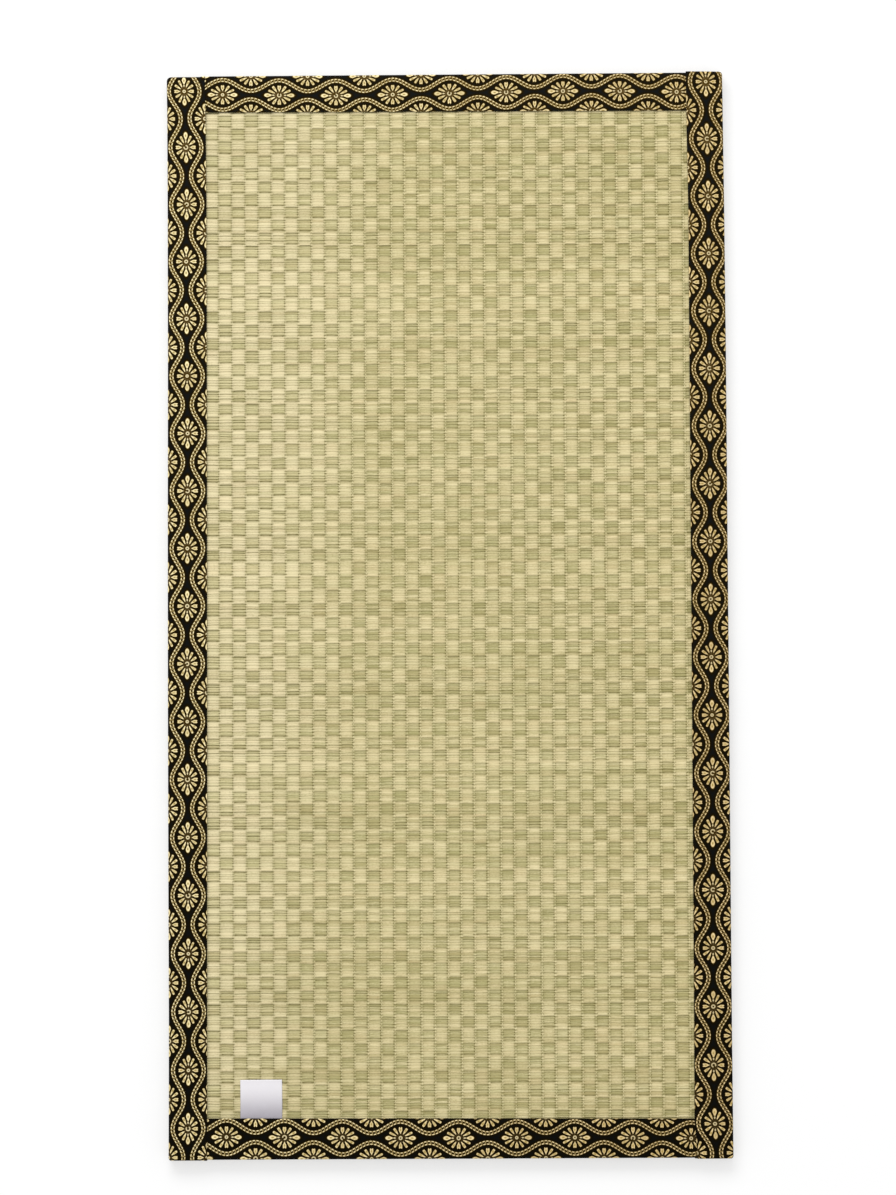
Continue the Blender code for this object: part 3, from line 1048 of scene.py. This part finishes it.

    # The gold is palest along the left of the mat and browner to the right and the foot, as painted light
    # and shade.
    place = start.node("ShaderNodeTexCoord", {}, {}, "Object")
    x, y = place.parts()[:2]
    right_and_foot_shade = (x * 1.6 - y * 0.25 + 0.58).within()
    # Painted shade: the black ground darkens towards the foot.
    low = (0.5 - y * 0.85).within()
    golds = (MID_GOLD, PALE_GOLD, GREY_GOLD)
    mid_gold, pale_gold, grey_gold = (right_and_foot_shade.blend(linear(*pale), linear(*brown)) for pale, brown in golds)
    ground = around.blend(linear(*SATIN_BLACK), linear(*WARM_BLACK))
    ground = (around * speck.ease(0.5, 0.75) * 0.7).blend(ground, linear(*SPECK_BROWN))
    ground = (outline * 0.85).blend(ground, linear(*OUTLINE_BROWN))
    ground = (wisp * 0.3).blend(ground, linear(*WISP_GOLD))
    ground = (low * 0.6).blend(ground, linear(*FOOT_SHADE_BLACK))
    sunlit = (petal_distance.ease(0.05, -0.4) * 0.95).most(rail * (0.2 + 0.9 * dash)).most(rung * 0.35)
    bright = (sunlit * (0.62 + 0.38 * petal_chance) + speck * 1.2 - 0.62).within()
    thread_gold = bright.blend(mid_gold, pale_gold)
    thread_gold = (vein * 0.85 * petal_mask).blend(thread_gold, linear(*VEIN_GOLD))
    thread_gold = (ring.most(bead) * 0.8).blend(thread_gold, grey_gold)
    thread_gold = (weft.ease(-0.2, -1.0) * 0.15).blend(thread_gold, linear(*WEFT_BROWN))
    colour = gold.blend(ground, thread_gold)
    height = gold * 1.0 + warp * 0.12 + weft * 0.16 * gold
    bump = start.node("ShaderNodeBump", {}, {"Height": height, "Distance": 0.14 * MM, "Strength": 0.7})
    connect(shader, {"Base Color": colour, "Roughness": 0.62 - gold * 0.17, "Normal": bump})
    return material


def lay_strip(mesh, cut, stations, edge, inner, half_length):
    """Gives a straight strip its pattern, turns it to its side of the mat, and fits it to the real edges."""
    outwards = 0 if stations is SIDE_STATIONS else 1
    sign = math.copysign(1, read(stations, 0, cut.side + "_inner"))
    bmesh.ops.recalc_face_normals(mesh, faces=mesh.faces[:])
    lay_pattern(mesh, cut, edge, half_length)
    bmesh.ops.rotate(mesh, verts=mesh.verts, matrix=Matrix.Rotation(math.radians(cut.turn), 3, "Z"))
    for vert in mesh.verts:
        over_mat = vert.co.z > THICKNESS / 2
        place = vert.co[1 - outwards]
        share = share_outside(vert.co[outwards], inner, edge)
        vert.co = uneven(vert.co)
        free_edge = sign * (edge - UNDER_FLAP)
        if over_mat:
            free_edge = read(stations, place, cut.side + "_inner")
        vert.co[outwards] += (free_edge - sign * inner) * (1 - share)
        if over_mat and stations is SIDE_STATIONS:
            vert.co.z += climb(place)
        vert.co = softened(vert.co, over_mat, share)


def make_side_strip(cut, materials):
    """A strip along a long edge, closed at both ends over the corners."""
    sign = -1 if cut.side == "left" else 1
    edge = WIDTH / 2
    half_length = LENGTH / 2
    inner = abs(read(SIDE_STATIONS, 0, cut.side + "_inner"))
    mesh = straight_strip(half_length, inner, edge)
    for end_place in (-half_length, half_length):
        end = "top" if end_place * -sign > 0 else "bottom"
        at_end = edges_at(mesh, 0, end_place)
        corner = [item for item in at_end if all(near(vert.co.y, edge) for vert in item.verts)]
        round_over(mesh, corner, CORNER_RADIUS[f"{end}_{cut.side}"] * MM, CORNER_STEPS)
    for level in (0, THICKNESS):
        round_over(mesh, edges_at(mesh, 2, level), EDGE_RADIUS, EDGE_STEPS)
    cut_stations(mesh, half_length, inner, edge)
    lay_strip(mesh, cut, SIDE_STATIONS, edge, inner, half_length)
    finish_strip(cut.side, mesh, materials)


def make_end_strip(cut, materials):
    """A strip along a short edge, its ends tucked under the side strips."""
    edge = LENGTH / 2 - LAP
    half_length = WIDTH / 2 - END_STRIP_STOP
    inner = abs(read(END_STATIONS, 0, cut.side + "_inner"))
    mesh = straight_strip(half_length, inner, edge)
    drop_faces(mesh, lambda centre: near(abs(centre.x), half_length))
    round_over(mesh, edges_at(mesh, 1, edge), EDGE_RADIUS, EDGE_STEPS)
    cut_stations(mesh, half_length, inner, edge)
    under_edge = WIDTH / 2 - UNDER_FLAP - GAP
    cut_across(mesh, 0, [-under_edge, under_edge])
    cut_across(mesh, 2, [END_WALL_FOOT])
    drop_faces(mesh, lambda centre: abs(centre.x) > under_edge and centre.z < END_WALL_FOOT)

    # This strip doesn't turn over at its ends, so the turn that its pattern allows for is put beyond them.
    lay_strip(mesh, cut, END_STATIONS, edge, inner, WIDTH)
    finish_strip(cut.side, mesh, materials)


strip_materials = (brocade_finish(), hem_shade_finish())
for strip_cut in STRIP_CUTS:
    make_strip = make_side_strip if strip_cut.side in ("left", "right") else make_end_strip
    make_strip(strip_cut, strip_materials)


# The label
# A small square of pale woven satin, left bare. Its foot is caught under the bottom strip, and the rest
# lies loose on the rush.

LABEL_LEFT = -231 * MM
LABEL_WIDTH = 46 * MM
LABEL_TOP = -513 * MM
LABEL_FOOT = -558.5 * MM
LABEL_CLOTH = 0.25 * MM
LABEL_CELLS = 36
LABEL_REST = 14.0 * MM
LABEL_TUCK_LEVEL = 13.72 * MM

# It curls up a little along its head, most at the right corner, bulges in its middle, and dips to its
# tuck level at its foot. The parts are shares of its length or width, and its edges waver a little.
CURLED_PART = 0.12
CORNER_PART = 0.25
TUCKED_PART = 0.14
LABEL_CURL = 0.35 * MM
LABEL_BULGE = 0.12 * MM
SIDE_WAVER = 0.15 * MM
HEAD_WAVER = 0.2 * MM


def satin_finish():
    """Cool white satin with a fine close weave, greyed towards its foot by painted shade."""
    material, shader, start = new_finish("label_satin", {"Specular IOR Level": 0.3})
    place = start.node("ShaderNodeTexCoord", {}, {}, "Object")
    x, y = place.parts()[:2]
    down = (LABEL_TOP - y) / (LABEL_TOP - LABEL_FOOT)
    # Painted shade: the satin greys towards its foot.
    label_foot_shade = down.ease(0.1, 1.1)
    fine = (x * (2 * math.pi / (0.32 * MM))).sin() * 0.5 + (y * (2 * math.pi / (0.45 * MM))).sin() * 0.5
    cloud = start.node("ShaderNodeTexNoise", {}, {"Vector": place, "Scale": 60.0, "Detail": 3.0})
    white = label_foot_shade.blend(linear(223, 220, 223), linear(146, 141, 149))
    white = (cloud.ease(0.4, 0.8) * 0.12).blend(white, linear(204, 201, 212))
    colour = (fine.ease(0.2, -1.0) * 0.1).blend(white, linear(150, 148, 160))
    bump = start.node("ShaderNodeBump", {}, {"Height": fine, "Distance": 0.03 * MM, "Strength": 0.6})
    connect(shader, {"Base Color": colour, "Roughness": 0.34 + cloud * 0.12, "Normal": bump})
    return material


def make_label():
    mesh = bmesh.new()
    bmesh.ops.create_grid(mesh, x_segments=LABEL_CELLS, y_segments=LABEL_CELLS, size=0.5)
    for vert in mesh.verts:
        across = vert.co.x + 0.5
        down = 0.5 - vert.co.y
        curl = max(0.0, CURLED_PART - down) / CURLED_PART
        corner = max(0.0, across - (1 - CORNER_PART)) / CORNER_PART
        tuck = max(0.0, down - (1 - TUCKED_PART)) / TUCKED_PART
        rise = LABEL_CURL * curl * curl * (0.5 + corner)
        rise += LABEL_BULGE * math.sin(math.pi * across) * math.sin(math.pi * down)
        ease = tuck * tuck * (3 - 2 * tuck)
        vert.co.x = LABEL_LEFT + LABEL_WIDTH * across + SIDE_WAVER * math.sin(3 * down)
        vert.co.y = LABEL_TOP + (LABEL_FOOT - LABEL_TOP) * down + HEAD_WAVER * math.sin(2.2 * across)
        vert.co.z = LABEL_REST + rise + (LABEL_TUCK_LEVEL - LABEL_REST) * ease
    label = add_piece("label_cloth", mesh, satin_finish())
    thicken = label.modifiers.new("cloth", "SOLIDIFY")
    thicken.thickness = LABEL_CLOTH
    thicken.offset = -1.0
    label.data.shade_smooth()
    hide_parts("label")


make_label()


# The studio
# A plain white floor, a wide soft light over the top left of the mat and an even white surround, with
# the camera nearly square above the mat, as in the photograph.

MAT_TOP = Vector((0, 0, THICKNESS))
CAMERA_TURN = (-3.38, -0.85, 0.36)
CAMERA_OFFSET = Vector((0.0002, 0.0168, 4.9519))
LENS = 135
SENSOR_HEIGHT = 36
FLOOR_SIZE = 16.0
FLOOR_DROP = 0.3 * MM

# The floor is a lit white table: part of its white is its own glow, so the mat's shadow on it is faint.
FLOOR_GREY = 0.40
FLOOR_GLOW = 0.535
LIGHT_PLACE = Vector((-1.2, 4.8, 4.05))
LIGHT_AIM = Vector((0, 0.1, 0))
LIGHT_SIZE = (4.8, 2.7)
LIGHT_POWER = 274.0
SURROUND = 0.86


def make_floor():
    mesh = bmesh.new()
    bmesh.ops.create_grid(mesh, x_segments=8, y_segments=8, size=FLOOR_SIZE / 2)
    bmesh.ops.translate(mesh, vec=(0, 0, -FLOOR_DROP), verts=mesh.verts)
    data = bpy.data.meshes.new("floor")
    mesh.to_mesh(data)
    mesh.free()
    floor = bpy.data.objects.new("floor", data)
    bpy.context.scene.collection.objects.link(floor)
    settings = {
        "Base Color": (FLOOR_GREY, FLOOR_GREY, FLOOR_GREY, 1.0),
        "Roughness": 0.9,
        "Specular IOR Level": 0.0,
        "Emission Color": (1.0, 1.0, 1.0, 1.0),
        "Emission Strength": FLOOR_GLOW,
    }
    data.materials.append(new_finish("floor_white", settings)[0])


def make_lights():
    lamp = bpy.data.lights.new("soft_light", "AREA")
    lamp.shape = "RECTANGLE"
    lamp.size, lamp.size_y = LIGHT_SIZE
    lamp.energy = LIGHT_POWER
    light = bpy.data.objects.new("soft_light", lamp)
    light.location = LIGHT_PLACE
    light.rotation_euler = (LIGHT_AIM - LIGHT_PLACE).to_track_quat("-Z", "Y").to_euler()
    bpy.context.scene.collection.objects.link(light)
    world = bpy.data.worlds.new("surround")
    world.use_nodes = True
    world.node_tree.nodes["Background"].inputs["Color"].default_value = (1.0, 1.0, 1.0, 1.0)
    world.node_tree.nodes["Background"].inputs["Strength"].default_value = SURROUND
    bpy.context.scene.world = world


def make_camera():
    data = bpy.data.cameras.new("camera")
    data.lens = LENS
    data.sensor_fit = "VERTICAL"
    data.sensor_height = SENSOR_HEIGHT
    camera = bpy.data.objects.new("camera", data)
    to_world = Euler([math.radians(angle) for angle in CAMERA_TURN], "XYZ").to_matrix().transposed()
    camera.rotation_euler = to_world.to_euler()
    camera.location = MAT_TOP + to_world @ CAMERA_OFFSET
    bpy.context.scene.collection.objects.link(camera)
    bpy.context.scene.camera = camera


make_floor()
make_lights()
make_camera()
bpy.context.scene.view_settings.view_transform = "Standard"
